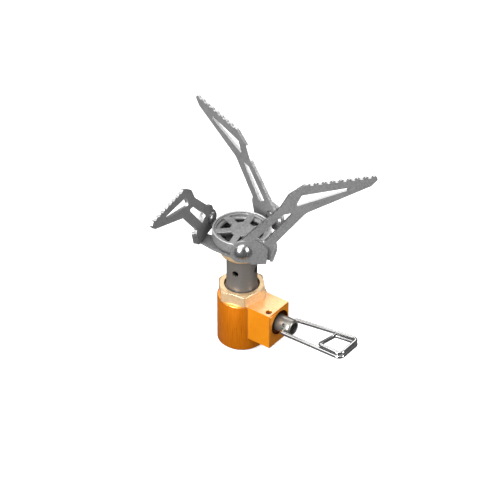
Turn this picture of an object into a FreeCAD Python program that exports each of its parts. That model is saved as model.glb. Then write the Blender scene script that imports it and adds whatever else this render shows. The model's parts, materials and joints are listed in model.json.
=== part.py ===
# Folding canister stove, drawn as a parametric document.
# Origin: centre of the base face, on the axis of the canister thread. +Z is up and the
# valve spindle points along +X. All sizes are in millimetres.
import FreeCAD, Part
import math
import os
import re
import Sketcher
from FreeCAD import Placement, Rotation, Vector

SIZES = {
    # valve body: a turned barrel with a square block for the valve
    "body_radius": 8.0,
    "body_height": 17.8,
    "body_edge_break": 0.8,
    "block_end": 15.1,
    "block_half_width": 5.1,
    "block_bottom": 5.2,
    "block_edge_break": 0.35,
    "valve_height": 12.8,
    # canister socket: 7/16 inch thread for a screw-on gas canister
    "socket_radius": 5.15,
    "socket_mouth_break": 0.5,
    "socket_thread_top": 4.4,
    "socket_relief_radius": 5.5,
    "socket_depth": 8.2,
    # pin that opens the canister, its gauze and its seal
    "pin_tip_height": 4.6,
    "pin_radius": 0.9,
    "pin_point": 0.3,
    "pin_flange_radius": 4.2,
    "pin_flange_bottom": 6.3,
    "pin_flange_top": 7.5,
    "pin_shank_radius": 1.3,
    "pin_shank_top": 10.4,
    "pin_port_radius": 0.45,
    "pin_port_circle": 2.6,
    "seal_ring_radius": 3.75,
    "seal_cord_radius": 0.65,
    # gas way from the socket to the needle and on to the jet
    "inlet_offset": 3.0,
    "inlet_radius": 0.6,
    "gallery_radius": 0.9,
    "gallery_bottom": 11.9,
    "seat_radius": 0.6,
    "seat_start": 1.6,
    "chamber_radius": 1.5,
    "packing_start": 4.7,
    "packing_radius": 2.35,
    "gland_start": 7.9,
    "gland_end": 9.9,
    "gland_bore": 1.97,
    "bore_radius": 4.2,
    "thread_depth": 0.28,
    "thread_pitch": 0.7,
    "thread_runout": 0.3,
    "thread_overlap": 0.2,
    # retaining pin that keeps the spindle from being screwed right out
    "stop_pin_radius": 1.0,
    "stop_pin_along": 13.1,
    "stop_pin_aside": 3.2,
    "stop_pin_bottom": 7.6,
    "stop_pin_top": 16.9,
    # spindle
    "needle_tip_radius": 0.3,
    "needle_tip": 1.7,
    "needle_shoulder": 2.9,
    "needle_radius": 1.1,
    "stem_start": 5.0,
    "stem_radius": 1.9,
    "o_ring_along": 6.0,
    "o_ring_cord_radius": 0.42,
    "o_ring_radius": 1.88,
    "o_ring_groove_radius": 1.45,
    "o_ring_groove_half": 0.47,
    "collar_start": 10.1,
    "collar_end": 10.9,
    "collar_radius": 2.7,
    "head_start": 14.3,
    "head_end": 20.6,
    "head_radius": 2.8,
    "head_edge_break": 0.45,
    "head_back_break": 0.2,
    "head_dish_radius": 1.9,
    "head_dish_depth": 0.35,
    "head_dish_slope": 0.3,
    # cross hole, wire handle
    "cross_hole_along": 18.4,
    "cross_hole_radius": 0.72,
    "sight_hole_radius": 0.7,
    "sight_hole_angle": 38.0,
    "sight_hole_depth": 1.1,
    "wire_radius": 0.65,
    "handle_half_gap": 4.0,
    "handle_half_width": 4.75,
    "handle_reach": 23.7,
    "handle_cross_reach": 15.2,
    "handle_cross_inset": 0.25,
    "handle_cross_drop": 0.35,
    "handle_cross_lead": 0.6,
    "handle_layer": 1.5,
    "handle_tilt": 3.2,
    "wire_end": 1.2,
    "wire_knuckle": 1.0,
    "wire_bend": 1.7,
    # brass hex fitting between body and tube, and the jet inside it
    "nut_across_flats": 14.2,
    "nut_top": 21.7,
    "nut_chamfer_fall": 0.55,
    "nut_shank_radius": 4.4,
    "nut_shank_bottom": 14.6,
    "nut_shank_break": 0.4,
    "nut_overlap": 0.1,
    "nut_mouth_radius": 5.75,
    "nut_mouth_bottom": 20.1,
    "nut_inside_radius": 4.1,
    "nut_inside_bottom": 18.6,
    "tube_seat": 19.1,
    "jet_thread_radius": 2.0,
    "jet_lead": 0.3,
    "jet_bottom": 15.2,
    "jet_head_bottom": 18.6,
    "jet_head_top": 20.8,
    "jet_across_flats": 5.5,
    "jet_nose_radius": 1.5,
    "jet_nose_break": 0.6,
    "jet_top": 23.0,
    "jet_bore_radius": 0.9,
    "jet_bore_top": 22.0,
    "jet_orifice_bottom": 22.5,
    "jet_orifice_radius": 0.2,
    # mixing tube and collar
    "tube_radius": 4.95,
    "tube_wall": 0.7,
    "tube_top": 39.5,
    "tube_foot_radius": 5.45,
    "tube_foot_top": 21.1,
    "tube_foot_break": 0.3,
    "tube_foot_neck": 0.1,
    "tube_lip_radius": 5.4,
    "air_hole_radius": 1.05,
    "air_hole_height": 28.4,
    "air_hole_azimuth": 12.0,
    "ring_radius": 6.9,
    "ring_bottom": 33.8,
    "ring_top": 37.7,
    "ring_edge_break": 0.5,
    # bracket that carries the three pot supports
    "sheet": 0.9,
    "hub_disc_radius": 9.1,
    "ear_inner_radius": 12.15,
    # burner head
    "cup_radius": 9.4,
    "cup_bottom": 38.6,
    "cup_rim": 43.3,
    "cup_wall": 0.5,
    "cup_corner": 1.9,
    "plate_bottom": 42.25,
    "plate_thickness": 0.6,
    "plate_hub_radius": 3.8,
    "window_radius": 8.2,
    "spoke_width": 2.2,
    "spoke_azimuth": 44.8,
    "flame_ring_inside": 6.9,
    "flame_ring_bottom": 41.4,
    "flame_ring_break": 0.4,
    "baffle_bottom": 40.6,
    "baffle_thickness": 0.5,
    "baffle_hole_radius": 0.7,
    "baffle_hole_circle": 6.2,
    # pot supports, each flat against the inner side of its ear
    "support_azimuth": -47.0,
    "support_inner_radius": 11.05,
    "support_thickness": 1.0,
    "flange_outer_radius": 12.95,
    "pivot_aside": -1.0,
    "pivot_height": 43.3,
    "pivot_hole_radius": 1.3,
    "scallop_radius": 1.25,
    "scallop_depth": 0.55,
    "scallop_pitch": 2.55,
    # rivets
    "rivet_shank_radius": 1.25,
    "rivet_head_radius": 2.8,
    "rivet_head_height": 1.7,
    "rivet_tail_radius": 2.3,
    "rivet_tail_start": 10.05,
    "rivet_tail_end": 10.95,
}

# Corners of the flat shapes as (across, up, corner radius), seen from outside the stove:
# across runs counter-clockwise round the stove and up is the height above the base.
SUPPORT_OUTLINE = [
    (7.0, 38.75, 0.4), (8.4, 38.75, 0.5), (9.9, 43.8, 0.7), (9.5, 45.4, 0.5),
    (18.6, 55.8, 4.0), (38.6, 64.5, 0.5), (40.7, 66.8, 0.5), (39.7, 68.0, 0.4),
    (18.2, 66.3, 2.5), (13.2, 62.9, 2.5), (10.7, 58.4, 3.0), (-4.6, 43.78, 2.6),
    (-4.6, 38.95, 3.2), (6.8, 38.95, 0.25),
]
LOWER_SLOT = [(3.0, 46.9, 0.5), (5.7, 45.6, 0.5), (14.9, 56.3, 0.4), (11.6, 55.7, 0.8)]
UPPER_SLOT = [(17.2, 62.5, 0.6), (15.3, 58.5, 0.35), (31.3, 63.35, 0.4), (31.3, 64.35, 0.4)]
FLANGE_OUTLINE = [(7.4, 38.85, 0.1), (8.4, 38.75, 0.4), (9.9, 43.8, 0.6), (8.9, 43.9, 0.1)]
SCALLOP_COUNT = 8
PIN_PORT_COUNT = 6
BAFFLE_HOLE_COUNT = 18
WINDOW_COUNT = 6
SCALLOP_START = (20.3, 66.47)
SCALLOP_END = (39.7, 68.0)
EAR_OUTLINE = [
    (1.5, 37.7, 0), (6.3, 37.7, 0), (6.75, 43.6, 1.3), (3.2, 47.1, 3.0),
    (-4.9, 47.2, 3.7), (-4.9, 39.6, 3.4), (1.5, 38.9, 0.5),
]
# Corners of one arm of the bracket, seen from above, as (out, across, corner radius).
ARM_OUTLINE = [
    (0, 1.5, 0), (13.05, 1.5, 0), (13.05, 6.3, 0), (11.2, 6.3, 1.0),
    (6.5, 7.9, 3.0), (2.8, 8.6, 0), (0, 3.0, 0),
]
SUPPORT_NAMES = ("front", "back", "left")

doc = FreeCAD.newDocument("canister_stove")
sheet = doc.addObject("Spreadsheet::Sheet", "dims")
for row, (alias, value) in enumerate(SIZES.items(), start=1):
    sheet.set(f"A{row}", alias)
    sheet.set(f"B{row}", str(value))
    sheet.setAlias(f"B{row}", alias)
doc.recompute()


def size(alias):
    """Value of one cell of the spreadsheet."""
    return float(sheet.get(alias))


def bound(text):
    """Expression on the spreadsheet: every word in the text is an alias."""
    return re.sub(r"[a-z_]+", lambda word: "dims." + word.group(), text)


def plane(body, role):
    """One of the body's own origin planes."""
    return next(item for item in body.Origin.OriginFeatures if item.Role == role)


def new_body(label):
    body = doc.addObject("PartDesign::Body", label)
    body.Label = label
    return body


def new_sketch(body, role, offsets):
    """Empty sketch on an origin plane. offsets maps x, y or z of the sketch to an expression."""
    sketch = body.newObject("Sketcher::SketchObject", body.Name + "_sketch")
    sketch.AttachmentSupport = [(plane(body, role), "")]
    sketch.MapMode = "FlatFace"
    for way, text in offsets.items():
        sketch.setExpression(f"AttachmentOffset.Base.{way}", bound(text))
    return sketch


def profile_sketch(body, role, points, offsets=None):
    """Closed polygon whose corners are bound to the spreadsheet; "0" puts one on an axis."""
    sketch = new_sketch(body, role, offsets or {})
    count = len(points)
    spread = [Vector(math.cos(2 * math.pi * i / count), math.sin(2 * math.pi * i / count), 0)
              for i in range(count)]
    for i in range(count):
        sketch.addGeometry(Part.LineSegment(spread[i], spread[(i + 1) % count]), False)
    for i in range(count):
        sketch.addConstraint(Sketcher.Constraint("Coincident", i, 2, (i + 1) % count, 1))
    for i, point in enumerate(points):
        for kind, text, axis in (("DistanceX", point[0], -2), ("DistanceY", point[1], -1)):
            if text == "0":
                sketch.addConstraint(Sketcher.Constraint("PointOnObject", i, 1, axis))
            else:
                index = sketch.addConstraint(Sketcher.Constraint(kind, -1, 1, i, 1, 1.0))
                sketch.setExpression(f"Constraints[{index}]", bound(text))
    return sketch


def drawn_sketch(body, role, curves, offsets=None):
    """Sketch holding curves that are already in place."""
    sketch = new_sketch(body, role, offsets or {})
    for curve in curves:
        sketch.addGeometry(curve, False)
    return sketch


def circle_sketch(body, role, circles, offsets=None):
    """Sketch of circles given as (across, up, radius), each an expression; "0" is on an axis."""
    sketch = new_sketch(body, role, offsets or {})
    for i, (across, up, radius) in enumerate(circles):
        sketch.addGeometry(Part.Circle(Vector(1, 1, 0), Vector(0, 0, 1), 1), False)
        for kind, text, axis in (("DistanceX", across, -2), ("DistanceY", up, -1)):
            if text == "0":
                sketch.addConstraint(Sketcher.Constraint("PointOnObject", i, 3, axis))
            else:
                index = sketch.addConstraint(Sketcher.Constraint(kind, -1, 1, i, 3, 1.0))
                sketch.setExpression(f"Constraints[{index}]", bound(text))
        index = sketch.addConstraint(Sketcher.Constraint("Radius", i, 1.0))
        sketch.setExpression(f"Constraints[{index}]", bound(radius))
    return sketch


def revolve(body, sketch, kind="Revolution", axis="V_Axis"):
    """Turn a sketch right round one of its own axes, adding or cutting material."""
    before = 0 if body.Tip is None else body.Shape.Volume
    feature = body.newObject("PartDesign::" + kind, f"{body.Name}_{kind.lower()}")
    feature.Profile = sketch
    feature.ReferenceAxis = (sketch, [axis])
    feature.Angle = 360
    settle(body, before, kind != "Groove")
    return feature


def extrude(body, sketch, length, kind="Pad", reverse=False, both=False):
    """Pad or pocket a sketch by a length that is an expression."""
    before = 0 if body.Tip is None else body.Shape.Volume
    feature = body.newObject("PartDesign::" + kind, f"{body.Name}_{kind.lower()}")
    feature.Profile = sketch
    feature.setExpression("Length", bound(length))
    feature.Reversed = reverse
    feature.Midplane = both
    settle(body, before, kind != "Pocket")
    return feature


def settle(body, before, adds):
    """Recompute and make sure that the last feature changed the volume the right way."""
    doc.recompute()
    change = body.Shape.Volume - before
    if (change > 0) != adds or abs(change) < 1e-6:
        raise ValueError(f"{body.Label}: the last feature changed the volume by {change:.4f}")


def dress(body, kind, amount, wanted):
    """Chamfer or fillet every edge of the body's last feature that wanted() accepts."""
    base = body.Tip
    edges = [f"Edge{i}" for i, edge in enumerate(base.Shape.Edges, start=1) if wanted(edge)]
    feature = body.newObject("PartDesign::" + kind, f"{body.Name}_{kind.lower()}")
    feature.Base = (base, edges)
    feature.setExpression("Radius" if kind == "Fillet" else "Size", bound(amount))
    doc.recompute()
    return feature


def turned(label, points):
    """Body turned about Z from a profile of (radius, height) expressions."""
    body = new_body(label)
    revolve(body, profile_sketch(body, "XZ_Plane", points))
    return body


def turned_along_x(label, points):
    """Body turned about the valve axis from a profile of (distance out, radius) expressions."""
    body = new_body(label)
    sketch = profile_sketch(body, "XZ_Plane", points, {"y": "valve_height"})
    revolve(body, sketch, axis="H_Axis")
    return body


def rounded(corners, closed=True):
    """Straight runs joined by tangent arcs through corners given as (point, radius)."""
    count = len(corners)
    inner = range(count) if closed else range(1, count - 1)
    starts = [point for point, radius in corners]
    ends = list(starts)
    arcs = {}
    for i in inner:
        point, radius = corners[i]
        if radius == 0:
            continue
        back = (corners[i - 1][0] - point).normalize()
        ahead = (corners[(i + 1) % count][0] - point).normalize()
        half_turn = back.getAngle(ahead) / 2
        middle = (back + ahead).normalize()
        starts[i] = point + back * (radius / math.tan(half_turn))
        ends[i] = point + ahead * (radius / math.tan(half_turn))
        top = point + middle * (radius / math.sin(half_turn) - radius)
        arcs[i] = Part.Arc(starts[i], top, ends[i])
    curves = []
    for i in range(count):
        if i in arcs:
            curves.append(arcs[i])
        if closed or i < count - 1:
            curves.append(Part.LineSegment(ends[i], starts[(i + 1) % count]))
    return curves


def flat(corners):
    """Curves of a flat outline given as (across, up, corner radius)."""
    return rounded([(Vector(across, up, 0), radius) for across, up, radius in corners])


def circle(across, up, radius):
    return Part.Circle(Vector(across, up, 0), Vector(0, 0, 1), radius)


def ring_of_circles(count, ring_radius, radius):
    """Equal circles spaced evenly round the origin."""
    turns = [2 * math.pi * i / count for i in range(count)]
    return [circle(ring_radius * math.cos(turn), ring_radius * math.sin(turn), radius)
            for turn in turns]


def hexagon(across_flats):
    """Curves of a hexagon with two corners on the X axis."""
    reach = across_flats / math.sqrt(3)
    corners = [(reach * math.cos(math.radians(60 * i)), reach * math.sin(math.radians(60 * i)), 0)
               for i in range(6)]
    return flat(corners)


def turn_to(body, azimuth):
    """Turn a body about Z by an expression in degrees."""
    body.Placement = Placement(Vector(), Rotation(Vector(0, 0, 1), 0))
    body.setExpression("Placement.Rotation.Angle", bound(azimuth))


def make_valve_body():
    body = new_body("valve_body")
    revolve(body, profile_sketch(body, "XZ_Plane", [
        ("0", "0"), ("body_radius - body_edge_break", "0"), ("body_radius", "body_edge_break"),
        ("body_radius", "body_height - block_edge_break"),
        ("body_radius - block_edge_break", "body_height"), ("0", "body_height")]))
    block = profile_sketch(body, "XZ_Plane", [
        ("0", "block_bottom"), ("block_end", "block_bottom"), ("block_end", "body_height"),
        ("0", "body_height")])
    extrude(body, block, "2 * block_half_width", both=True)
    outer = size("block_end")
    dress(body, "Chamfer", "block_edge_break",
          lambda edge: all(abs(v.X - outer) < 1e-4 for v in edge.Vertexes))
    # upright bores: canister socket, pin hole, jet gallery and the seat of the hex fitting
    revolve(body, profile_sketch(body, "XZ_Plane", [
        ("0", "0"), ("socket_radius + socket_mouth_break", "0"),
        ("socket_radius", "socket_mouth_break"), ("socket_radius", "socket_thread_top"),
        ("socket_relief_radius", "socket_thread_top + socket_relief_radius - socket_radius"),
        ("socket_relief_radius", "socket_depth"), ("pin_shank_radius", "socket_depth"),
        ("pin_shank_radius", "pin_shank_top"), ("0", "pin_shank_top")]), "Groove")
    revolve(body, profile_sketch(body, "XZ_Plane", [
        ("0", "gallery_bottom"), ("gallery_radius", "gallery_bottom"),
        ("gallery_radius", "nut_shank_bottom"), ("nut_shank_radius", "nut_shank_bottom"),
        ("nut_shank_radius", "body_height"), ("0", "body_height")]), "Groove")
    # valve bore: seat, needle chamber, packing chamber and the wide bore with its thread
    revolve(body, profile_sketch(body, "XZ_Plane", [
        ("0", "0"), ("0", "seat_radius"), ("seat_start", "seat_radius"),
        ("seat_start", "chamber_radius"), ("packing_start", "chamber_radius"),
        ("packing_start", "packing_radius"), ("gland_start", "packing_radius"),
        ("gland_start", "bore_radius"), ("block_end", "bore_radius"),
        ("block_end", "0")], {"y": "valve_height"}), "Groove", "H_Axis")
    revolve(body, drawn_sketch(body, "XZ_Plane", thread_teeth(), {"y": "valve_height"}),
            "Groove", "H_Axis")
    inlet = circle_sketch(body, "XY_Plane", [("inlet_offset", "0", "inlet_radius")],
                          {"z": "valve_height"})
    extrude(body, inlet, "valve_height - socket_depth", "Pocket")
    stop = new_sketch(body, "XY_Plane", {"z": "body_height"})
    stop.addGeometry(circle(size("stop_pin_along"), -size("stop_pin_aside"),
                            size("stop_pin_radius")), False)
    extrude(body, stop, "body_height - stop_pin_bottom", "Pocket")
    return body


def thread_teeth():
    """Saw-tooth outline that cuts the thread of the wide bore, ring by ring."""
    pitch = size("thread_pitch")
    wall = size("bore_radius")
    deep = wall + size("thread_depth")
    inside = wall - size("thread_overlap")
    start = size("gland_end") + size("thread_runout")
    count = int((size("block_end") - start - size("thread_runout")) / pitch)
    points = [Vector(start, inside, 0), Vector(start, wall, 0)]
    for i in range(count):
        points.append(Vector(start + pitch * (i + 0.5), deep, 0))
        points.append(Vector(start + pitch * (i + 0.9), wall, 0))
        points.append(Vector(start + pitch * (i + 1), wall, 0))
    points.append(Vector(start + pitch * count, inside, 0))
    return [Part.LineSegment(points[i - 1], points[i]) for i in range(len(points))]


def make_canister_parts():
    pin = turned("canister_pin", [
        ("0", "pin_tip_height"), ("pin_radius - pin_point", "pin_tip_height"),
        ("pin_radius", "pin_tip_height + pin_point"), ("pin_radius", "pin_flange_bottom"),
        ("pin_flange_radius", "pin_flange_bottom"), ("pin_flange_radius", "pin_flange_top"),
        ("pin_shank_radius", "pin_flange_top"), ("pin_shank_radius", "pin_shank_top"),
        ("0", "pin_shank_top")])
    ports = ring_of_circles(PIN_PORT_COUNT, size("pin_port_circle"), size("pin_port_radius"))
    sketch = drawn_sketch(pin, "XY_Plane", ports, {"z": "pin_flange_top"})
    extrude(pin, sketch, "pin_flange_top - pin_flange_bottom", "Pocket")
    turned("gas_filter", [
        ("pin_shank_radius", "pin_flange_top"), ("pin_flange_radius", "pin_flange_top"),
        ("pin_flange_radius", "socket_depth"), ("pin_shank_radius", "socket_depth")])
    make_ring("canister_seal", "seal_ring_radius", "seal_cord_radius",
              {"z": "pin_flange_bottom - seal_cord_radius"})


def make_ring(label, radius, cord_radius, place, along_x=False):
    """O-ring about Z, or about the valve axis."""
    ring = doc.addObject("Part::Torus", label)
    ring.Label = label
    ring.setExpression("Radius1", bound(radius))
    ring.setExpression("Radius2", bound(cord_radius))
    if along_x:
        ring.Placement = Placement(Vector(), Rotation(Vector(0, 1, 0), 90))
    for way, text in place.items():
        ring.setExpression(f"Placement.Base.{way}", bound(text))


def make_spindle_parts():
    body = turned_along_x("spindle", [
        ("needle_tip", "0"), ("needle_tip", "needle_tip_radius"),
        ("needle_shoulder", "needle_radius"), ("stem_start", "needle_radius"),
        ("stem_start", "stem_radius"), ("o_ring_along - o_ring_groove_half", "stem_radius"),
        ("o_ring_along - o_ring_groove_half", "o_ring_groove_radius"),
        ("o_ring_along + o_ring_groove_half", "o_ring_groove_radius"),
        ("o_ring_along + o_ring_groove_half", "stem_radius"), ("collar_start", "stem_radius"),
        ("collar_start", "collar_radius"), ("collar_end", "collar_radius"),
        ("collar_end", "stem_radius"), ("head_start", "stem_radius"),
        ("head_start", "head_radius - head_back_break"),
        ("head_start + head_back_break", "head_radius"),
        ("head_end - head_edge_break", "head_radius"),
        ("head_end", "head_radius - head_edge_break"), ("head_end", "head_dish_radius"),
        ("head_end - head_dish_depth", "head_dish_radius - head_dish_slope"),
        ("head_end - head_dish_depth", "0")])
    cross = circle_sketch(body, "XZ_Plane",
                          [("cross_hole_along", "valve_height", "cross_hole_radius")])
    extrude(body, cross, "3 * head_radius", "Pocket", both=True)
    # small blind hole on the side of the head, above the near end of the wire
    sight = circle_sketch(body, "XZ_Plane", [("cross_hole_along", "0", "sight_hole_radius")])
    slope = size("sight_hole_angle")
    out = Vector(0, -math.cos(math.radians(slope)), math.sin(math.radians(slope)))
    start = Vector(0, 0, size("valve_height")) + out * size("head_radius")
    sight.MapMode = "Deactivated"
    sight.Placement = Placement(start, Rotation(Vector(1, 0, 0), Vector(0, 0, 1), out, "XZY"))
    extrude(body, sight, "sight_hole_depth", "Pocket")
    make_ring("spindle_seal", "o_ring_radius", "o_ring_cord_radius",
              {"x": "o_ring_along", "z": "valve_height"}, along_x=True)
    turned_along_x("gland_nut", [
        ("gland_start", "gland_bore"), ("gland_end", "gland_bore"),
        ("gland_end", "bore_radius"), ("gland_start", "bore_radius")])
    pin = doc.addObject("Part::Cylinder", "stop_pin")
    pin.Label = "stop_pin"
    pin.setExpression("Radius", bound("stop_pin_radius"))
    pin.setExpression("Height", bound("stop_pin_top - stop_pin_bottom"))
    pin.setExpression("Placement.Base.x", bound("stop_pin_along"))
    pin.setExpression("Placement.Base.y", bound("-stop_pin_aside"))
    pin.setExpression("Placement.Base.z", bound("stop_pin_bottom"))


def make_valve_handle():
    """Bent wire: in at one side of the spindle, twice round the grip, out at the other side."""
    wire_radius = size("wire_radius")
    gap = size("handle_half_gap")
    wide = size("handle_half_width")
    reach = size("handle_reach")
    cross = size("handle_cross_reach")
    layer = size("handle_layer")
    knuckle = size("wire_knuckle")
    bend = size("wire_bend")
    inset = wide - size("handle_cross_inset")
    lead = wide - size("handle_cross_lead")
    corners = [
        (Vector(0, -size("wire_end"), 0), 0),
        (Vector(0, -gap, 0), knuckle),
        (Vector(reach, -wide, 0), bend),
        (Vector(reach, wide, 0), bend),
        (Vector(cross, inset, -size("handle_cross_drop")), knuckle),
        (Vector(cross, -lead, layer), knuckle),
        (Vector(reach, -wide, layer), bend),
        (Vector(reach, wide, layer), bend),
        (Vector(0, gap, 0), knuckle),
        (Vector(0, size("wire_end"), 0), 0),
    ]
    path = Part.Wire([curve.toShape() for curve in rounded(corners, closed=False)])
    start, ahead = corners[0][0], corners[1][0] - corners[0][0]
    section = Part.Wire([Part.Circle(start, ahead, wire_radius).toShape()])
    solid = path.makePipeShell([section], True, True)
    expected = math.pi * wire_radius ** 2 * path.Length
    if abs(solid.Volume / expected - 1) > 0.01:
        raise ValueError(f"handle wire: volume {solid.Volume:.2f}, expected {expected:.2f}")
    handle = doc.addObject("Part::Feature", "valve_handle")
    handle.Label = "valve_handle"
    handle.Shape = solid
    handle.Placement = Placement(Vector(size("cross_hole_along"), 0, size("valve_height")),
                                 Rotation(Vector(0, 1, 0), -size("handle_tilt")))


def make_hex_fitting():
    body = new_body("hex_fitting")
    corner = size("nut_across_flats") / math.sqrt(3)
    outline = drawn_sketch(body, "XY_Plane", hexagon(size("nut_across_flats")),
                           {"z": "body_height"})
    extrude(body, outline, "nut_top - body_height")
    # chamfer that leaves a round face at the top of the hexagon
    flat_radius, level = size("nut_across_flats") / 2, size("nut_top")
    teeth = [Vector(flat_radius, level, 0), Vector(corner, level, 0),
             Vector(corner, level - size("nut_chamfer_fall"), 0)]
    curves = [Part.LineSegment(teeth[i - 1], teeth[i]) for i in range(3)]
    revolve(body, drawn_sketch(body, "XZ_Plane", curves), "Groove")
    revolve(body, profile_sketch(body, "XZ_Plane", [
        ("0", "nut_shank_bottom"), ("nut_shank_radius - nut_shank_break", "nut_shank_bottom"),
        ("nut_shank_radius", "nut_shank_bottom + nut_shank_break"),
        ("nut_shank_radius", "body_height + nut_overlap"), ("0", "body_height + nut_overlap")]))
    revolve(body, profile_sketch(body, "XZ_Plane", [
        ("0", "nut_shank_bottom"), ("jet_thread_radius", "nut_shank_bottom"),
        ("jet_thread_radius", "nut_inside_bottom"), ("nut_inside_radius", "nut_inside_bottom"),
        ("nut_inside_radius", "tube_seat"), ("tube_radius", "tube_seat"),
        ("tube_radius", "nut_mouth_bottom"), ("nut_mouth_radius", "nut_mouth_bottom"),
        ("nut_mouth_radius", "nut_top"), ("0", "nut_top")]), "Groove")
    turn_to(body, "support_azimuth")


def make_jet():
    body = turned("jet", [
        ("0", "jet_bottom"), ("jet_thread_radius - jet_lead", "jet_bottom"),
        ("jet_thread_radius", "jet_bottom + jet_lead"), ("jet_thread_radius", "jet_head_top"),
        ("jet_nose_radius", "jet_head_top"), ("jet_nose_radius", "jet_top - jet_nose_break"),
        ("jet_nose_radius - jet_nose_break", "jet_top"), ("0", "jet_top")])
    outline = drawn_sketch(body, "XY_Plane", hexagon(size("jet_across_flats")),
                           {"z": "jet_head_bottom"})
    extrude(body, outline, "jet_head_top - jet_head_bottom")
    revolve(body, profile_sketch(body, "XZ_Plane", [
        ("0", "jet_bottom"), ("jet_bore_radius", "jet_bottom"),
        ("jet_bore_radius", "jet_bore_top"), ("jet_orifice_radius", "jet_orifice_bottom"),
        ("jet_orifice_radius", "jet_top"), ("0", "jet_top")]), "Groove")


def make_mixing_tube():
    body = turned("mixing_tube", [
        ("tube_radius - tube_wall", "tube_seat"), ("tube_radius", "tube_seat"),
        ("tube_radius", "nut_mouth_bottom"), ("tube_foot_radius", "nut_mouth_bottom"),
        ("tube_foot_radius", "tube_foot_top - tube_foot_break"),
        ("tube_foot_radius - tube_foot_break", "tube_foot_top"),
        ("tube_radius + tube_foot_neck", "tube_foot_top"),
        ("tube_radius", "tube_foot_top + tube_foot_break"),
        ("tube_radius", "cup_bottom + cup_wall"), ("tube_lip_radius", "cup_bottom + cup_wall"),
        ("tube_lip_radius", "tube_top"), ("tube_radius - tube_wall", "tube_top")])
    sketch = circle_sketch(body, "YZ_Plane", [("0", "air_hole_height", "air_hole_radius")])
    first = extrude(body, sketch, "3 * tube_radius", "Pocket", both=True)
    pattern = body.newObject("PartDesign::PolarPattern", "air_holes")
    pattern.Originals = [first]
    pattern.Axis = (body.Origin.OriginFeatures[2], [""])
    pattern.Angle = 180
    pattern.Occurrences = 3
    body.Tip = pattern
    doc.recompute()
    turn_to(body, "air_hole_azimuth")


def make_burner():
    body = turned("burner_cup", [
        ("tube_radius", "cup_bottom"), ("cup_radius", "cup_bottom"), ("cup_radius", "cup_rim"),
        ("cup_radius - cup_wall", "cup_rim"), ("cup_radius - cup_wall", "cup_bottom + cup_wall"),
        ("tube_radius", "cup_bottom + cup_wall")])
    low = size("cup_bottom")
    high = low + size("cup_wall")
    outer, inner = size("cup_radius"), size("cup_radius") - size("cup_wall")

    def corner(height, radius):
        return lambda edge: (len(edge.Vertexes) == 1 and abs(edge.Vertexes[0].Z - height) < 1e-4
                             and abs(edge.Curve.Radius - radius) < 1e-4)

    dress(body, "Fillet", "cup_corner", corner(low, outer))
    dress(body, "Fillet", "cup_corner - cup_wall", corner(high, inner))

    plate = new_body("burner_plate")
    disc = circle_sketch(plate, "XY_Plane", [("0", "0", "cup_radius - cup_wall")],
                         {"z": "plate_bottom"})
    extrude(plate, disc, "plate_thickness")
    extrude(plate, drawn_sketch(plate, "XY_Plane", window_curves(), {"z": "plate_bottom"}),
            "plate_thickness", "Pocket", reverse=True)
    turn_to(plate, "spoke_azimuth")

    turned("flame_ring", [
        ("flame_ring_inside", "flame_ring_bottom"), ("cup_radius - cup_wall", "flame_ring_bottom"),
        ("cup_radius - cup_wall", "plate_bottom"),
        ("flame_ring_inside + flame_ring_break", "plate_bottom"),
        ("flame_ring_inside", "plate_bottom - flame_ring_break")])

    baffle = new_body("burner_baffle")
    disc = circle_sketch(baffle, "XY_Plane", [("0", "0", "cup_radius - cup_wall")],
                         {"z": "baffle_bottom"})
    extrude(baffle, disc, "baffle_thickness")
    holes = ring_of_circles(BAFFLE_HOLE_COUNT, size("baffle_hole_circle"),
                            size("baffle_hole_radius"))
    extrude(baffle, drawn_sketch(baffle, "XY_Plane", holes, {"z": "baffle_bottom"}),
            "baffle_thickness", "Pocket", reverse=True)


def window_curves():
    """Fan-shaped windows between straight spokes, the first spoke along the X axis."""
    inner = size("plate_hub_radius")
    outer = size("window_radius")
    half = size("spoke_width") / 2
    curves = []
    share = 2 * math.pi / WINDOW_COUNT
    for i in range(WINDOW_COUNT):
        turn = Rotation(Vector(0, 0, 1), math.degrees(share * i))
        ends = []
        for radius in (inner, outer):
            first = math.asin(half / radius)
            last = share - first
            ends.append([turn * Vector(radius * math.cos(a), radius * math.sin(a), 0)
                         for a in (first, share / 2, last)])
        curves.append(Part.Arc(*ends[0]))
        curves.append(Part.LineSegment(ends[0][2], ends[1][2]))
        curves.append(Part.Arc(*ends[1]))
        curves.append(Part.LineSegment(ends[1][0], ends[0][0]))
    return curves


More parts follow.
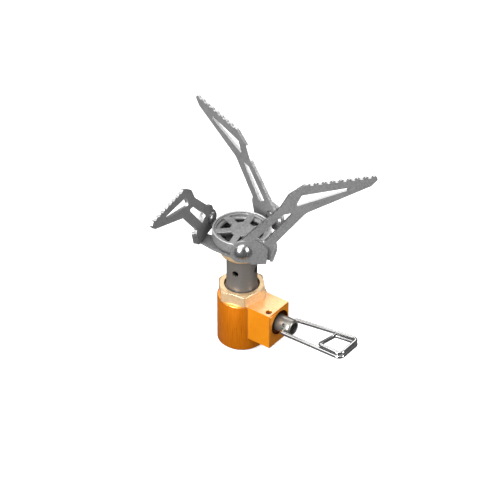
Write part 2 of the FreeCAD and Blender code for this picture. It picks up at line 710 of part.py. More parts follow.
def make_bracket():
    body = new_body("support_bracket")
    disc = circle_sketch(body, "XY_Plane", [("0", "0", "hub_disc_radius")], {"z": "ring_top"})
    extrude(body, disc, "sheet")
    arm = extrude(body, drawn_sketch(body, "XY_Plane", flat(ARM_OUTLINE), {"z": "ring_top"}),
                  "sheet")
    ear_curves = flat(EAR_OUTLINE)
    ear_curves.append(circle(size("pivot_aside"), size("pivot_height"),
                             size("rivet_shank_radius")))
    ear = extrude(body, drawn_sketch(body, "YZ_Plane", ear_curves, {"z": "ear_inner_radius"}),
                  "sheet")
    pattern = body.newObject("PartDesign::PolarPattern", "arms")
    pattern.Originals = [arm, ear]
    pattern.Axis = (body.Origin.OriginFeatures[2], [""])
    pattern.Angle = 360
    pattern.Occurrences = 3
    body.Tip = pattern
    doc.recompute()
    low = size("ring_top")
    out = size("ear_inner_radius") + size("sheet")

    def bend_edge(edge):
        """Lower outer edge of an ear: level, at the bottom, and square to its own radius."""
        middle = edge.CenterOfMass
        if abs(middle.z - low) > 1e-4 or len(edge.Vertexes) != 2:
            return False
        way = edge.Vertexes[1].Point - edge.Vertexes[0].Point
        normal = Vector(-way.y, way.x, 0).normalize()
        return abs(abs(normal.dot(Vector(middle.x, middle.y, 0))) - out) < 1e-3

    dress(body, "Fillet", "sheet", bend_edge)
    hole = circle_sketch(body, "XY_Plane", [("0", "0", "tube_radius")], {"z": "ring_top"})
    extrude(body, hole, "sheet", "Pocket", reverse=True)
    turn_to(body, "support_azimuth")


def make_pot_support(name, azimuth):
    body = new_body("pot_support_" + name)
    pivot = circle(size("pivot_aside"), size("pivot_height"), size("pivot_hole_radius"))
    curves = flat(SUPPORT_OUTLINE) + flat(LOWER_SLOT) + flat(UPPER_SLOT) + [pivot]
    inner = {"z": "support_inner_radius"}
    extrude(body, drawn_sketch(body, "YZ_Plane", curves, inner), "support_thickness")
    extrude(body, drawn_sketch(body, "YZ_Plane", flat(FLANGE_OUTLINE), inner),
            "flange_outer_radius - support_inner_radius")
    start, end = Vector(*SCALLOP_START, 0), Vector(*SCALLOP_END, 0)
    along = (end - start).normalize()
    lift = Vector(-along.y, along.x, 0) * (size("scallop_radius") - size("scallop_depth"))
    scallops = []
    for i in range(SCALLOP_COUNT):
        centre = start + along * (size("scallop_pitch") * i) + lift
        scallops.append(circle(centre.x, centre.y, size("scallop_radius")))
    extrude(body, drawn_sketch(body, "YZ_Plane", scallops, inner), "support_thickness",
            "Pocket", reverse=True)
    turn_to(body, azimuth)


def make_rivet(name, azimuth):
    body = new_body("rivet_" + name)
    tail_start, tail_end = size("rivet_tail_start"), size("rivet_tail_end")
    head_start = size("ear_inner_radius") + size("sheet")
    head_end = head_start + size("rivet_head_height")
    tail, shank, head = (size("rivet_tail_radius"), size("rivet_shank_radius"),
                         size("rivet_head_radius"))
    bow = (head ** 2 + (head_end - head_start) ** 2) / (2 * (head_end - head_start))
    centre = head_end - bow
    half = math.asin(head / bow) / 2
    crown = Vector(centre + bow * math.cos(half), bow * math.sin(half), 0)
    points = [Vector(tail_start, 0, 0), Vector(tail_start, tail - 0.25, 0),
              Vector(tail_start + 0.25, tail, 0), Vector(tail_end, tail, 0),
              Vector(tail_end, shank, 0), Vector(head_start, shank, 0),
              Vector(head_start, head, 0)]
    curves = [Part.LineSegment(points[i], points[i + 1]) for i in range(len(points) - 1)]
    tip = Vector(head_end, 0, 0)
    curves.append(Part.Arc(points[-1], crown, tip))
    curves.append(Part.LineSegment(tip, points[0]))
    sketch = drawn_sketch(body, "XZ_Plane", curves,
                          {"y": "pivot_height", "z": "-pivot_aside"})
    revolve(body, sketch, axis="H_Axis")
    turn_to(body, azimuth)


make_valve_body()
make_canister_parts()
make_spindle_parts()
make_valve_handle()
make_hex_fitting()
make_jet()
make_mixing_tube()
turned("burner_collar", [
    ("tube_radius", "ring_bottom"), ("ring_radius - ring_edge_break", "ring_bottom"),
    ("ring_radius", "ring_bottom + ring_edge_break"), ("ring_radius", "ring_top - 0.2"),
    ("ring_radius - 0.2", "ring_top"), ("tube_radius", "ring_top")])
make_bracket()
make_burner()
for turn, support_name in enumerate(SUPPORT_NAMES):
    make_pot_support(support_name, f"support_azimuth + {120 * turn}")
    make_rivet(support_name, f"support_azimuth + {120 * turn}")

doc.recompute()
failed = [item.Label for item in doc.Objects
          if "Invalid" in item.State or "Error" in item.State]
if failed:
    raise ValueError("failed objects: " + ", ".join(failed))

SINGLE_TYPES = ("PartDesign::Body", "Part::Torus", "Part::Cylinder", "Part::Feature")
nodes = [item for item in doc.Objects if item.TypeId in SINGLE_TYPES
         and item.getParentGeoFeatureGroup() is None]
for item in nodes:
    if item.Shape.isNull() or not item.Shape.isValid():
        raise ValueError("bad shape: " + item.Label)

os.makedirs("parts", exist_ok=True)
for item in nodes:
    item.Shape.exportStep(f"parts/{item.Label}.step")
    print(f"{item.Label}: {item.Shape.Volume:.2f} mm3, {len(item.Shape.Solids)} solid")
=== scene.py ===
# %% [markdown]
# # Folding canister stove
# This lesson dresses a small folding gas stove: an anodised valve with a wire handle, a
# steel tube, and a burner head with three hinged pot supports. The exact shapes were drawn
# in CAD first. Here every part gets the things a drawing leaves out: broken edges, threads,
# and a finish that says how the part was made.

# %% Load the frame
import bpy
import json
import math
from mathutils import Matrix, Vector


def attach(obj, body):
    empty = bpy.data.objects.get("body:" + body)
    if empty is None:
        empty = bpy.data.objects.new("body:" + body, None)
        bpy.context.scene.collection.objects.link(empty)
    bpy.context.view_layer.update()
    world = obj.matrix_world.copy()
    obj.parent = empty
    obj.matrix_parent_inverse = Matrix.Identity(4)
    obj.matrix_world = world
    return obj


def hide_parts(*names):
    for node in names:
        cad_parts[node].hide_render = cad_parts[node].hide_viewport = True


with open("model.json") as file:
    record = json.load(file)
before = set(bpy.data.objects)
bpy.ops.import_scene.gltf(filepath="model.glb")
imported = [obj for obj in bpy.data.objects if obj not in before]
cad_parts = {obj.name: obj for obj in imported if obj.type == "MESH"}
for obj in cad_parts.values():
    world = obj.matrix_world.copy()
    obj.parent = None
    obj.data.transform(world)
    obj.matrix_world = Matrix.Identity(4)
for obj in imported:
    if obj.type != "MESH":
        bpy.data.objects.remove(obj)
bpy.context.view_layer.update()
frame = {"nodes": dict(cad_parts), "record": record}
mm = 0.001
print("parts in the frame:", len(frame["nodes"]))

# %% [markdown]
# ## Working by hand, in code
# An operator works on whatever is selected, and everything is selected after loading. So the
# first habit is the same as at the desk: drop the selection, then take hold of one piece.
# Faces and edges are picked by where they are or which way they face, because their numbers
# change as soon as the mesh is edited.

# %% Take hold of one piece, its faces or its edges
def hold(piece, mode="OBJECT"):
    """Make this the only selected piece, and go into the mode that is wanted."""
    if bpy.context.object and bpy.context.object.mode != "OBJECT":
        bpy.ops.object.mode_set(mode="OBJECT")
    bpy.ops.object.select_all(action="DESELECT")
    piece.select_set(True)
    bpy.context.view_layer.objects.active = piece
    bpy.ops.object.mode_set(mode=mode)


def pick_faces(piece, wanted):
    """Go into edit mode with only the faces that pass wanted(centre in mm, normal) selected."""
    hold(piece, "EDIT")
    bpy.ops.mesh.select_mode(type="FACE")
    bpy.ops.mesh.select_all(action="DESELECT")
    bpy.ops.object.mode_set(mode="OBJECT")
    for face in piece.data.polygons:
        face.select = wanted(face.center / mm, face.normal)
    count = sum(face.select for face in piece.data.polygons)
    bpy.ops.object.mode_set(mode="EDIT")
    return count


def paint_faces(piece, finish, wanted):
    """Give a second finish to the faces that pass the test."""
    piece.data.materials.append(finish)
    count = pick_faces(piece, wanted)
    piece.active_material_index = len(piece.data.materials) - 1
    bpy.ops.object.material_slot_assign()
    bpy.ops.object.mode_set(mode="OBJECT")
    print(piece.name, "has", count, "faces in", finish.name)


# %% [markdown]
# ## A finished copy of a part
# The frame's parts are loose triangles with knife-sharp edges. No real edge is like that: a
# stamped or turned edge is always broken a little, and that narrow facet is what catches the
# light and draws the outline of the part. So each part is copied, its loose triangles are
# joined, flat areas become single faces, and the sharp edges are bevelled. The facet gets its
# own brighter finish, since a cut edge is bare metal. Wire, domes and rings have no edge to
# break, so they keep their fine triangles and only get smooth shading. The copy stands in for
# the part, which is hidden, and is parented to an empty named after the same body.

# %% Copy, join and bevel
join_distance = 0.002 * mm
flat_angle = math.radians(0.5)
body_of_node = {name: body for body, names in frame["record"]["behaviour"]["bodies"].items()
                for name in names}


def break_edges(piece, width, sharp, where):
    """Bevel the sharp edges whose middle, in mm, passes the test."""
    hold(piece, "EDIT")
    bpy.ops.mesh.select_mode(type="EDGE")
    bpy.ops.mesh.select_all(action="DESELECT")
    bpy.ops.mesh.edges_select_sharp(sharpness=math.radians(sharp))
    bpy.ops.object.mode_set(mode="OBJECT")
    points = piece.data.vertices
    chosen = [edge.index for edge in piece.data.edges if edge.select and where(
        (points[edge.vertices[0]].co + points[edge.vertices[1]].co) / 2 / mm)]
    for items in (piece.data.polygons, piece.data.edges, piece.data.vertices):
        items.foreach_set("select", [False] * len(items))
    for index in chosen:
        piece.data.edges[index].select = True
    bpy.ops.object.mode_set(mode="EDIT")
    bpy.ops.mesh.bevel(offset=width, segments=1, affect="EDGES", clamp_overlap=True, material=1)
    bpy.ops.object.mode_set(mode="OBJECT")
    return len(chosen)


def finished_copy(node, name, finish, edge=None, width=0.1, smooth=30, sharp=32,
                  where=lambda middle: True):
    """Joined copy of a CAD part with its edges broken by a width in mm, in its own finish."""
    piece = bpy.data.objects.new(name, frame["nodes"][node].data.copy())
    bpy.context.scene.collection.objects.link(piece)
    piece.data.materials.clear()
    piece.data.materials.append(finish)
    hold(piece, "EDIT")
    bpy.ops.mesh.select_all(action="SELECT")
    bpy.ops.mesh.customdata_custom_splitnormals_clear()
    bpy.ops.mesh.remove_doubles(threshold=join_distance)
    if edge:
        bpy.ops.mesh.dissolve_limited(angle_limit=flat_angle)
    bpy.ops.object.mode_set(mode="OBJECT")
    broken = 0
    if edge:
        piece.data.materials.append(edge)
        broken = break_edges(piece, width * mm, sharp, where)
    hold(piece)
    bpy.ops.object.shade_smooth_by_angle(angle=math.radians(smooth))
    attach(piece, body_of_node[node])
    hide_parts(node)
    print(name, "stands in for", node, "with", broken, "edges broken,",
          len(piece.data.polygons), "faces")
    return piece


# %% [markdown]
# ## Grain, as a node group
# Turning, brushing, rolling and bead blasting all leave a fine pattern, and the only
# difference between them is how far the pattern is drawn out and which way. One group does
# them all: the Stretch input squeezes the coordinates, so that noise becomes dots, rings
# about an axis, or long streaks. It gives a mask for colour and roughness, and a height.

# %% The grain group
def new_group(name, inputs, outputs):
    """Empty shader node group with its sockets, and its two end nodes."""
    group = bpy.data.node_groups.new(name, "ShaderNodeTree")
    for label, kind in inputs:
        group.interface.new_socket(label, in_out="INPUT", socket_type=kind)
    for label, kind in outputs:
        group.interface.new_socket(label, in_out="OUTPUT", socket_type=kind)
    return group, group.nodes.new("NodeGroupInput"), group.nodes.new("NodeGroupOutput")


grain, start, end = new_group(
    "Grain", [("Vector", "NodeSocketVector"), ("Stretch", "NodeSocketVector"),
              ("Scale", "NodeSocketFloat"), ("Low", "NodeSocketFloat"),
              ("High", "NodeSocketFloat")],
    [("Mask", "NodeSocketFloat"), ("Height", "NodeSocketFloat")])
squeeze = grain.nodes.new("ShaderNodeVectorMath")
squeeze.operation = "MULTIPLY"
noise = grain.nodes.new("ShaderNodeTexNoise")
noise.inputs["Detail"].default_value = 5
noise.inputs["Roughness"].default_value = 0.62
spread = grain.nodes.new("ShaderNodeMapRange")
grain.links.new(start.outputs["Vector"], squeeze.inputs[0])
grain.links.new(start.outputs["Stretch"], squeeze.inputs[1])
grain.links.new(squeeze.outputs[0], noise.inputs["Vector"])
grain.links.new(start.outputs["Scale"], noise.inputs["Scale"])
grain.links.new(noise.outputs["Fac"], spread.inputs["Value"])
grain.links.new(start.outputs["Low"], spread.inputs["From Min"])
grain.links.new(start.outputs["High"], spread.inputs["From Max"])
grain.links.new(spread.outputs["Result"], end.inputs["Mask"])
grain.links.new(noise.outputs["Fac"], end.inputs["Height"])
print("group", grain.name, "has", len(grain.nodes), "nodes")

# %% [markdown]
# ## A metal finish
# Each finish has two grains: a fine one, which sets the touch of the surface through bump and
# roughness, and a broad one, which is the slow change in tone that hands, heat and dye leave.
# The numbers that don't vary, such as metallic, sit on the shader itself. A grain is given as
# how far it is squeezed along each axis, how many bumps it has to the metre, and the part of
# the noise that runs from dark to light. Where no grain shows by name, as on a cut edge, a
# plain pair of grains will do.

# %% Build a finish from two grains
dots, upright = (1.0, 1.0, 1.0), (1.0, 1.0, 0.035)
soft, gentle = (0.3, 0.7), (0.2, 0.8)
coat_roughness = 0.12
plain_grains = (dots, 2600, *soft), (dots, 300, *soft)
turned_edge_grains = (dots, 2400, *soft), (dots, 300, *soft)
blasted_grains = (dots, 1900, 0.34, 0.66), (dots, 150, *soft)
dark_grains = (dots, 3000, *soft), (dots, 300, *soft)
polished_grains = (dots, 1400, *soft), (dots, 200, *soft)


def place_grain(finish, stretch, scale, low, high):
    """One grain node in a finish, on the piece's own coordinates."""
    nodes, links = finish.node_tree.nodes, finish.node_tree.links
    where = nodes.new("ShaderNodeTexCoord")
    placed = nodes.new("ShaderNodeGroup")
    placed.node_tree = grain
    links.new(where.outputs["Object"], placed.inputs["Vector"])
    placed.inputs["Stretch"].default_value = stretch
    placed.inputs["Scale"].default_value = scale
    placed.inputs["Low"].default_value = low
    placed.inputs["High"].default_value = high
    return placed


def blend_colours(finish, mask, first, second):
    """Colour output that goes from the first colour to the second with a mask."""
    mix = finish.node_tree.nodes.new("ShaderNodeMix")
    mix.data_type = "RGBA"
    finish.node_tree.links.new(mask, mix.inputs["Factor"])
    for socket, colour in ((mix.inputs[6], first), (mix.inputs[7], second)):
        if isinstance(colour, tuple):
            socket.default_value = (*colour, 1)
        else:
            finish.node_tree.links.new(colour, socket)
    return mix.outputs[2]


def metal(name, dark, light, grains, rough, bump=0.05, depth=0.02, metallic=1.0, coat=0.0):
    """Metal whose tone runs from dark to light, and whose roughness runs over a range.

    grains are the fine and the broad one, each (stretch, scale, low, high); depth is in mm.
    """
    finish = bpy.data.materials.new(name)
    finish.use_nodes = True
    nodes, links = finish.node_tree.nodes, finish.node_tree.links
    shader = nodes["Principled BSDF"]
    close, wide = [place_grain(finish, *one) for one in grains]
    middle = tuple((a + b) / 2 for a, b in zip(dark, light))
    tone = blend_colours(finish, wide.outputs["Mask"], dark, middle)
    tone = blend_colours(finish, close.outputs["Mask"], tone, light)
    links.new(tone, shader.inputs["Base Color"])
    sheen = nodes.new("ShaderNodeMapRange")
    sheen.inputs["To Min"].default_value, sheen.inputs["To Max"].default_value = rough
    links.new(close.outputs["Mask"], sheen.inputs["Value"])
    links.new(sheen.outputs["Result"], shader.inputs["Roughness"])
    relief = nodes.new("ShaderNodeBump")
    relief.inputs["Strength"].default_value = bump
    relief.inputs["Distance"].default_value = depth * mm
    links.new(close.outputs["Height"], relief.inputs["Height"])
    links.new(relief.outputs["Normal"], shader.inputs["Normal"])
    shader.inputs["Metallic"].default_value = metallic
    shader.inputs["Coat Weight"].default_value = coat
    shader.inputs["Coat Roughness"].default_value = coat_roughness
    return finish


# %% [markdown]
# ## The anodised valve body
# The barrel and its square valve block are one piece of aluminium, turned and milled, then
# dyed orange in the anodising bath. The dye sits in a clear glassy layer over bare metal, so
# the finish is a coloured metal under a thin coat. The cutter left fine upright lines on the
# barrel. The milled sides of the block are smoother and lighter, and every broken edge has
# taken less dye and looks brighter. The top of the block is painted a pale orange, a painted
# highlight of the light from behind. The tapped bore is painted dark inside, a painted shade
# for the shadow in the bore and between its threads.

# %% Orange finishes and the body
cloudy = ((1, 1, 0.3), 260, *soft)
orange = metal("orange_anodised", (0.66, 0.140, 0.001), (0.96, 0.28, 0.004),
               ((upright, 5200, *soft), cloudy), (0.26, 0.38), bump=0.25, metallic=0.65,
               coat=0.06)
# Painted highlight: a pale orange for the level top of the block, where the light from behind
# is mirrored.
highlit_top_orange = metal("orange_top_painted_highlight", (0.90, 0.38, 0.09), (1.0, 0.62, 0.32),
                    (((0.3, 1, 1), 2600, *soft), (dots, 220, *soft)), (0.3, 0.45), bump=0.4,
                    metallic=0.7, coat=0.5)
milled_orange = metal("orange_milled_side", (0.96, 0.22, 0.002), (1.0, 0.38, 0.010),
                      ((dots, 2400, *soft), cloudy), (0.28, 0.40), bump=0.3, metallic=0.5,
                      coat=0.1)
orange_edge = metal("orange_bright_edge", (1.0, 0.47, 0.12), (1.0, 0.66, 0.30),
                    turned_edge_grains, (0.25, 0.4), coat=0.4)
# Painted shade: the inside of the tapped bore is coloured dark for the shadow in it and between
# its threads.
shaded_bore_orange = metal("bore_painted_shade", (0.10, 0.030, 0.010), (0.36, 0.13, 0.045),
                    (((9, 1, 1), 700, *soft), (dots, 400, *soft)), (0.2, 0.45))

# Heights and distances in mm that tell the faces and edges of the body apart.
valve_axis = 12.8
valve_bore = {"start": 7.7, "radius": 4.55}
socket_space = {"radius": 6.5, "bottom": 0.2, "top": 18.5}
block = {"root": 5.0, "start": 10.1, "top": 17.5}
body_shoulder = 16.0
level, square_on, end_on = 0.98, 0.99, 0.999


def in_valve_bore(point):
    """Inside the wide tapped bore, which runs along X at the valve's height."""
    return point.x > valve_bore["start"] and (
        math.hypot(point.y, point.z - valve_axis) < valve_bore["radius"])


def outside_of_bores(point):
    """Not in the socket, and not in line with the valve unless on top of the body."""
    in_socket = (math.hypot(point.x, point.y) < socket_space["radius"]
                 and socket_space["bottom"] < point.z < socket_space["top"])
    in_line = math.hypot(point.y, point.z - valve_axis) <= valve_bore["radius"]
    return not in_socket and (point.z > body_shoulder or not in_line) and (
        not in_valve_bore(point))


barrel = finished_copy("valve_body", "barrel", orange, orange_edge, 0.11,
                       where=outside_of_bores)
# Painted highlight on the level top faces of the block.
paint_faces(barrel, highlit_top_orange,
            lambda centre, normal: normal.z > level and centre.z > block["top"]
            and centre.x > block["root"])
paint_faces(barrel, milled_orange,
            lambda centre, normal: abs(normal.z) < 1 - level
            and max(abs(normal.y), normal.x) > square_on
            and math.hypot(centre.x, centre.y) > block["start"])
# Painted shade inside the tapped bore.
paint_faces(barrel, shaded_bore_orange,
            lambda centre, normal: in_valve_bore(centre) and abs(normal.x) < end_on)

# %% [markdown]
# ## The thread for the canister
# The socket in the base is tapped for a gas canister, with 28 turns to the inch. A thread is a
# small tooth wound up a screw line, so it starts as one narrow triangle, standing on the wall
# of the socket, and the Screw modifier sweeps it round and up. Spin would only close it into
# a ring. The first and last turns fade into the wall on the real part; here the ends are
# sunk into it.

# %% Cut the canister thread
socket = {"radius": 5.15, "bottom": 0.75, "pitch": 25.4 / 28, "turns": 3}

# How deep and how high stretch the triangle; the steps are in one turn; the rest is in mm.
tooth = {"size": 0.30, "depth": 1.35, "height": 1.1, "out": 0.16, "up": 0.35, "steps": 48}
bpy.ops.object.select_all(action="DESELECT")
bpy.ops.mesh.primitive_circle_add(vertices=3, radius=tooth["size"] * mm, fill_type="NOTHING",
                                  location=(0, 0, 0), rotation=(math.pi / 2, 0, 0))
thread = bpy.context.object
thread.name = "canister_thread"
bpy.ops.object.transform_apply(location=True, rotation=True, scale=True)
hold(thread, "EDIT")
bpy.ops.mesh.select_all(action="SELECT")
bpy.ops.transform.resize(value=(tooth["depth"], 1, tooth["height"]))
bpy.ops.transform.translate(value=((socket["radius"] + tooth["out"]) * mm, 0,
                                   (socket["bottom"] + tooth["up"]) * mm))
hold(thread)
bpy.ops.object.modifier_add(type="SCREW")
winding = thread.modifiers[-1]
winding.screw_offset = socket["pitch"] * mm
winding.iterations = socket["turns"]
winding.steps = winding.render_steps = tooth["steps"]
winding.use_merge_vertices = False
bpy.ops.object.modifier_apply(modifier=winding.name)
hold(thread, "EDIT")
bpy.ops.mesh.select_all(action="SELECT")
bpy.ops.mesh.remove_doubles(threshold=join_distance / 2)
bpy.ops.mesh.select_mode(type="EDGE")
bpy.ops.mesh.select_all(action="DESELECT")
bpy.ops.mesh.select_non_manifold()
bpy.ops.mesh.fill_holes(sides=4)
bpy.ops.mesh.select_all(action="SELECT")
bpy.ops.mesh.normals_make_consistent(inside=False)
hold(thread)
bpy.ops.object.shade_smooth_by_angle(angle=math.radians(30))
thread.data.materials.append(orange_edge)
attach(thread, "stove")
print("canister thread:", socket["turns"], "turns,", len(thread.data.polygons), "faces")

# %% [markdown]
# ## Brass: the hexagon, the collar and the gas parts
# The hexagon and the collar are turned from pale brass bar. Freshly machined brass is bright
# and slightly patchy, with rings where the tool has faced it, and its corners shine. The pin,
# the jet and the gland inside are the same brass, a little duller from handling.

# %% Brass finishes and parts
brass = metal("brass_machined", (0.53, 0.35, 0.18), (0.78, 0.56, 0.32),
              ((dots, 1300, *soft), (dots, 190, *soft)), (0.30, 0.42), bump=0.2,
              depth=0.015, metallic=0.45)
brass_edge = metal("brass_bright_edge", (0.80, 0.62, 0.38), (0.95, 0.80, 0.56),
                   turned_edge_grains, (0.18, 0.3))
brass_inside = metal("brass_dull", (0.42, 0.26, 0.09), (0.70, 0.47, 0.20),
                     (((1, 1, 8), 800, *soft), (dots, 300, *soft)), (0.3, 0.5))
for node, name, finish, width, smooth in (
        ("hex_fitting", "brass_hexagon", brass, 0.13, 26),
        ("burner_collar", "brass_collar", brass, 0.12, 30),
        ("canister_pin", "opening_pin", brass_inside, 0.07, 30),
        ("jet", "gas_jet", brass_inside, 0.08, 26),
        ("gland_nut", "gland", brass_inside, 0.1, 30)):
    finished_copy(node, name, finish, brass_edge, width, smooth)

# %% [markdown]
# ## The mixing tube
# Gas leaves the jet inside this tube and draws air in through four holes. It is thin drawn
# tube with fine rings from the lathe, slightly warm in colour from the flame above. Around
# each hole the drill left a bright countersunk rim.

# %% Tube finish and part
tube_steel = metal("tube_steel", (0.17, 0.155, 0.14), (0.27, 0.245, 0.225),
                   (((0.2, 0.2, 6), 1500, *gentle), ((0.3, 0.3, 1), 120, *gentle)),
                   (0.30, 0.36), bump=0.03, depth=0.01, metallic=0.6)
bright_edge = metal("bright_cut_edge", (0.50, 0.50, 0.50), (0.76, 0.76, 0.755),
                    plain_grains, (0.22, 0.4), metallic=0.35)
finished_copy("mixing_tube", "air_tube", tube_steel, bright_edge, 0.1)

# %% [markdown]
# ## Blasted steel: bracket, burner and pot supports
# These are stamped from sheet and bead blasted, which leaves an even, matt, slightly cool
# grey. Only the cut edges were touched again, in the tumbler, and they are bright. The cup was
# spun, so it is a little smoother and lighter. The star plate and the ledge under it sit in
# the flame, and are darker.

# %% Steel finishes and the burner head
blasted = metal("blasted_steel", (0.20, 0.20, 0.202), (0.36, 0.36, 0.362),
                blasted_grains, (0.40, 0.54), bump=0.6, depth=0.04, metallic=0.6)
heated = metal("heated_steel", (0.16, 0.158, 0.157), (0.36, 0.36, 0.36),
               (blasted_grains[0], (dots, 240, *soft)), (0.42, 0.58), bump=0.6, depth=0.04,
               metallic=0.55)
spun = metal("spun_cup_steel", (0.26, 0.26, 0.262), (0.44, 0.44, 0.442),
             blasted_grains, (0.36, 0.48), bump=0.3, depth=0.03, metallic=0.6)
worn_edge = metal("heated_edge", (0.34, 0.34, 0.34), (0.5, 0.5, 0.5),
                  plain_grains, (0.3, 0.45))
sheared = metal("sheared_edge", (0.42, 0.42, 0.42), (0.70, 0.70, 0.70),
                ((dots, 1500, 0.34, 0.66), (dots, 300, *soft)), (0.3, 0.5), bump=0.4)
# Painted shade: near-black steel for the disc in shadow inside the burner and for the retaining
# pin down in its hole.
shade_dark_steel = metal("steel_painted_shade", (0.05, 0.05, 0.05), (0.14, 0.138, 0.135),
             dark_grains, (0.45, 0.65), bump=0.5, depth=0.03)
sheet_break = 0.2
for node, name, finish, edge, width in (
        ("support_bracket", "three_arm_bracket", blasted, bright_edge, sheet_break),
        ("burner_cup", "burner_bowl", spun, bright_edge, 0.12),
        ("burner_plate", "star_plate", heated, worn_edge, 0.09),
        ("flame_ring", "window_ledge", heated, worn_edge, 0.06),
        # the drilled disc inside the burner is painted near-black, as painted shade
        ("burner_baffle", "drilled_disc", shade_dark_steel, None, 0)):
    finished_copy(node, name, finish, edge, width)

# %% The three pot supports
across_sheet = 0.6          # a cut face points this little along the sheet's own normal
outer_face = 12.04          # distance of the sheet's outer face from the stove's axis
for side in ("front", "back", "left"):
    arm = finished_copy("pot_support_" + side, "toothed_arm_" + side,
                        blasted, bright_edge, sheet_break)
    broad = max(arm.data.polygons, key=lambda face: face.area).normal.copy()
    paint_faces(arm, sheared, lambda centre, normal: abs(normal.dot(broad)) < across_sheet
                and abs(centre.dot(broad)) < outer_face)

# %% [markdown]
# ## Polished steel: rivets, spindle and wire
# The rivets were headed cold in a polished die, and the spindle and the wire are bright drawn
# bar. A polished surface has almost no colour of its own, only what it mirrors, so the grain
# is very faint and the roughness is low. Wire keeps its drawing lines, which run along it.

# %% Polished finishes and parts
polished = metal("polished_steel", (0.42, 0.42, 0.425), (0.48, 0.48, 0.485),
                 polished_grains, (0.25, 0.30), bump=0.02)
turned_steel = metal("turned_steel", (0.26, 0.245, 0.22), (0.33, 0.315, 0.285),
                     (((7, 0.1, 0.1), 1500, *gentle), (dots, 120, *gentle)), (0.28, 0.34),
                     bump=0.03, depth=0.01, metallic=0.8)
wire_steel = metal("wire_steel", (0.54, 0.54, 0.54), (0.62, 0.62, 0.615),
                   (((0.15, 1, 1), 3200, *soft), (dots, 200, *soft)), (0.10, 0.16), bump=0.02)
head = {"root": 13.0, "dish": 20.0, "rim": 20.55, "dish_radius": 1.95}
for side in ("front", "back", "left"):
    finished_copy("rivet_" + side, "rivet_dome_" + side, polished)
spindle = finished_copy("spindle", "needle_spindle", turned_steel,
                        bright_edge, 0.09, where=lambda middle: middle.x > head["root"])
# The retaining pin is painted near-black: painted shade in its hole.
finished_copy("stop_pin", "retaining_pin", shade_dark_steel)
finished_copy("valve_handle", "wire_handle", wire_steel)

# %% [markdown]
# ## The end of the spindle
# The flat end is sunk a little and blackened, with a fine cross-hatch pressed into it.
# Modelling each ridge would cost thousands of faces for something a few millimetres wide, so
# the hatch is a bump: two sets of waves crossing on the slant.

# %% Blacken and hatch the end face
black = metal("blackened_end", (0.006, 0.006, 0.006), (0.05, 0.05, 0.05),
              dark_grains, (0.3, 0.5), metallic=0.6)
nodes, links = black.node_tree.nodes, black.node_tree.links
where = nodes.new("ShaderNodeTexCoord")
hatch_scale, hatch_depth = 520, 0.12 * mm
heights = []
for slant in (45, -45):
    turn = nodes.new("ShaderNodeMapping")
    turn.inputs["Rotation"].default_value = (math.radians(slant), 0, 0)
    links.new(where.outputs["Object"], turn.inputs["Vector"])
    wave = nodes.new("ShaderNodeTexWave")
    wave.bands_direction = "Y"
    wave.inputs["Scale"].default_value = hatch_scale
    links.new(turn.outputs["Vector"], wave.inputs["Vector"])
    heights.append(wave.outputs["Fac"])
hatch = nodes.new("ShaderNodeMath")
hatch.operation = "MULTIPLY"
links.new(heights[0], hatch.inputs[0])
links.new(heights[1], hatch.inputs[1])
ridges = nodes.new("ShaderNodeBump")
ridges.inputs["Strength"].default_value = 0.9
ridges.inputs["Distance"].default_value = hatch_depth
links.new(hatch.outputs["Value"], ridges.inputs["Height"])
links.new(ridges.outputs["Normal"], nodes["Principled BSDF"].inputs["Normal"])
paint_faces(spindle, black, lambda centre, normal: head["dish"] < centre.x < head["rim"]
            and math.hypot(centre.y, centre.z - valve_axis) < head["dish_radius"])

# %% [markdown]
# ## Rubber and gauze
# Two O-rings keep the gas in, and a disc of fine gauze keeps grit out of the jet. Rubber is
# not a metal: it has a dark body colour and a soft, broad gloss. The gauze is too fine to show
# its wires one by one, so it is a fine grain with a deep bump.

# %% Seals and filter
rubber = metal("seal_rubber", (0.010, 0.010, 0.010), (0.028, 0.027, 0.026),
               plain_grains, (0.4, 0.6), metallic=0.0)
finished_copy("canister_seal", "canister_ring", rubber)
finished_copy("spindle_seal", "stem_ring", rubber)
woven = metal("woven_gauze", (0.30, 0.29, 0.27), (0.6, 0.58, 0.54),
              ((dots, 3800, *soft), (dots, 300, *soft)), (0.3, 0.5), bump=0.9, depth=0.08)
finished_copy("gas_filter", "gauze_disc", woven)

# %% [markdown]
# ## Studio
# The stove stands on a plain white table. Metal shows its surroundings, so the room matters as
# much as the lamps: a large soft light behind makes the level faces glow, one on the left
# lights the flat sides, a high one beside it whitens the wire, and two more, on the right and
# overhead, fill the rest. The room is bright above and dark round the horizon, which gives
# polished steel its dark outlines. The table is white when it is looked at, but dark when
# metal mirrors it, as a small sheet of paper in a dark room would be. All the light is soft,
# so shadows are faint.

# %% Table
bpy.ops.object.select_all(action="DESELECT")
below_base = -0.1 * mm
bpy.ops.mesh.primitive_plane_add(size=6, location=(0, 0, below_base))
table = bpy.context.object
table.name = "table"
paper = bpy.data.materials.new("white_table")
paper.use_nodes = True
nodes, links = paper.node_tree.nodes, paper.node_tree.links
seen = nodes.new("ShaderNodeLightPath")
links.new(blend_colours(paper, seen.outputs["Is Camera Ray"], (0.07, 0.07, 0.071),
                        (0.90, 0.90, 0.90)), nodes["Principled BSDF"].inputs["Base Color"])
links.new(blend_colours(paper, seen.outputs["Is Camera Ray"], (0.0, 0.0, 0.0),
                        (1.0, 1.0, 1.0)), nodes["Principled BSDF"].inputs["Emission Color"])
nodes["Principled BSDF"].inputs["Emission Strength"].default_value = 0.35
nodes["Principled BSDF"].inputs["Roughness"].default_value = 0.9
table.data.materials.append(paper)

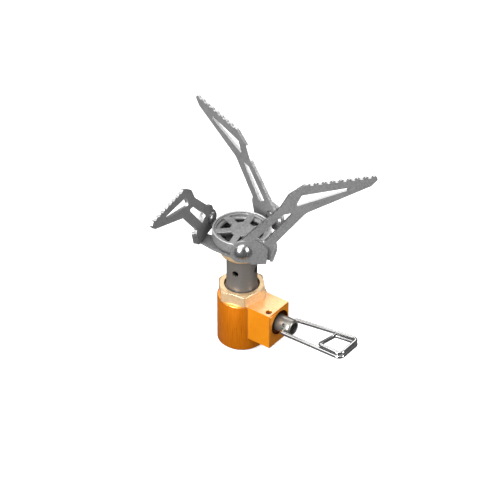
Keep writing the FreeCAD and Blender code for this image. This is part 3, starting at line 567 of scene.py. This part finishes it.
# %% Camera
azimuth, elevation = math.radians(37.1), math.radians(35.98)
aim = Vector((0, 0, 0.034))
stand_off = 0.757
towards_viewer = Vector((math.sin(azimuth) * math.cos(elevation),
                         -math.cos(azimuth) * math.cos(elevation), math.sin(elevation)))
bpy.ops.object.camera_add(location=aim + towards_viewer * stand_off)
camera = bpy.context.object
camera.rotation_euler = towards_viewer.to_track_quat("Z", "Y").to_euler()
camera.data.sensor_width = 36
camera.data.lens = 172.2
camera.data.shift_x = 0.0162
camera.data.shift_y = 0.003
camera.data.clip_start = 0.01
bpy.context.scene.camera = camera
print("camera at", [round(value, 4) for value in camera.location])


# %% Lamps
def softbox(name, bearing, height, distance, wide, tall, watts):
    """Area light aimed at the stove. Bearing is in degrees round from the viewer's side."""
    angle = azimuth + math.radians(bearing)
    rise = math.radians(height)
    away = Vector((math.sin(angle) * math.cos(rise), -math.cos(angle) * math.cos(rise),
                   math.sin(rise)))
    bpy.ops.object.light_add(type="AREA", location=aim + away * distance)
    lamp = bpy.context.object
    lamp.name = name
    lamp.rotation_euler = away.to_track_quat("Z", "Y").to_euler()
    lamp.data.shape = "RECTANGLE"
    lamp.data.size, lamp.data.size_y = wide, tall
    lamp.data.energy = watts
    return lamp


softbox("back_light", 180, 43, 1.0, 0.9, 0.46, 3)
softbox("left_light", -38, 26, 0.9, 0.4, 0.8, 14)
softbox("side_light", -84, 45, 1.0, 0.6, 0.6, 2.5)
softbox("right_light", 58, 18, 1.0, 0.4, 0.6, 6)
softbox("top_light", 0, 75, 1.1, 0.6, 0.6, 3.5)

# %% Room
room = bpy.data.worlds.new("studio_room")
bpy.context.scene.world = room
room.use_nodes = True
nodes, links = room.node_tree.nodes, room.node_tree.links
facing = nodes.new("ShaderNodeTexCoord")
overhead = nodes.new("ShaderNodeVectorMath")
overhead.operation = "DOT_PRODUCT"
overhead.inputs[1].default_value = (-0.3 * math.sin(azimuth), 0.3 * math.cos(azimuth), 0.95)
brightness = nodes.new("ShaderNodeMapRange")
for label, value in (("From Min", 0.35), ("From Max", 0.95), ("To Min", 0.14), ("To Max", 1.1)):
    brightness.inputs[label].default_value = value
links.new(facing.outputs["Generated"], overhead.inputs[0])
links.new(overhead.outputs["Value"], brightness.inputs["Value"])
links.new(brightness.outputs["Result"], nodes["Background"].inputs["Color"])
nodes["Background"].inputs["Strength"].default_value = 0.45
bpy.context.scene.view_settings.view_transform = "Standard"

# %% [markdown]
# ## Back to object mode
# Edit mode is left, and the scene is brought up to date.

# %% Leave edit mode
if bpy.context.object and bpy.context.object.mode != "OBJECT":
    bpy.ops.object.mode_set(mode="OBJECT")
bpy.context.view_layer.update()
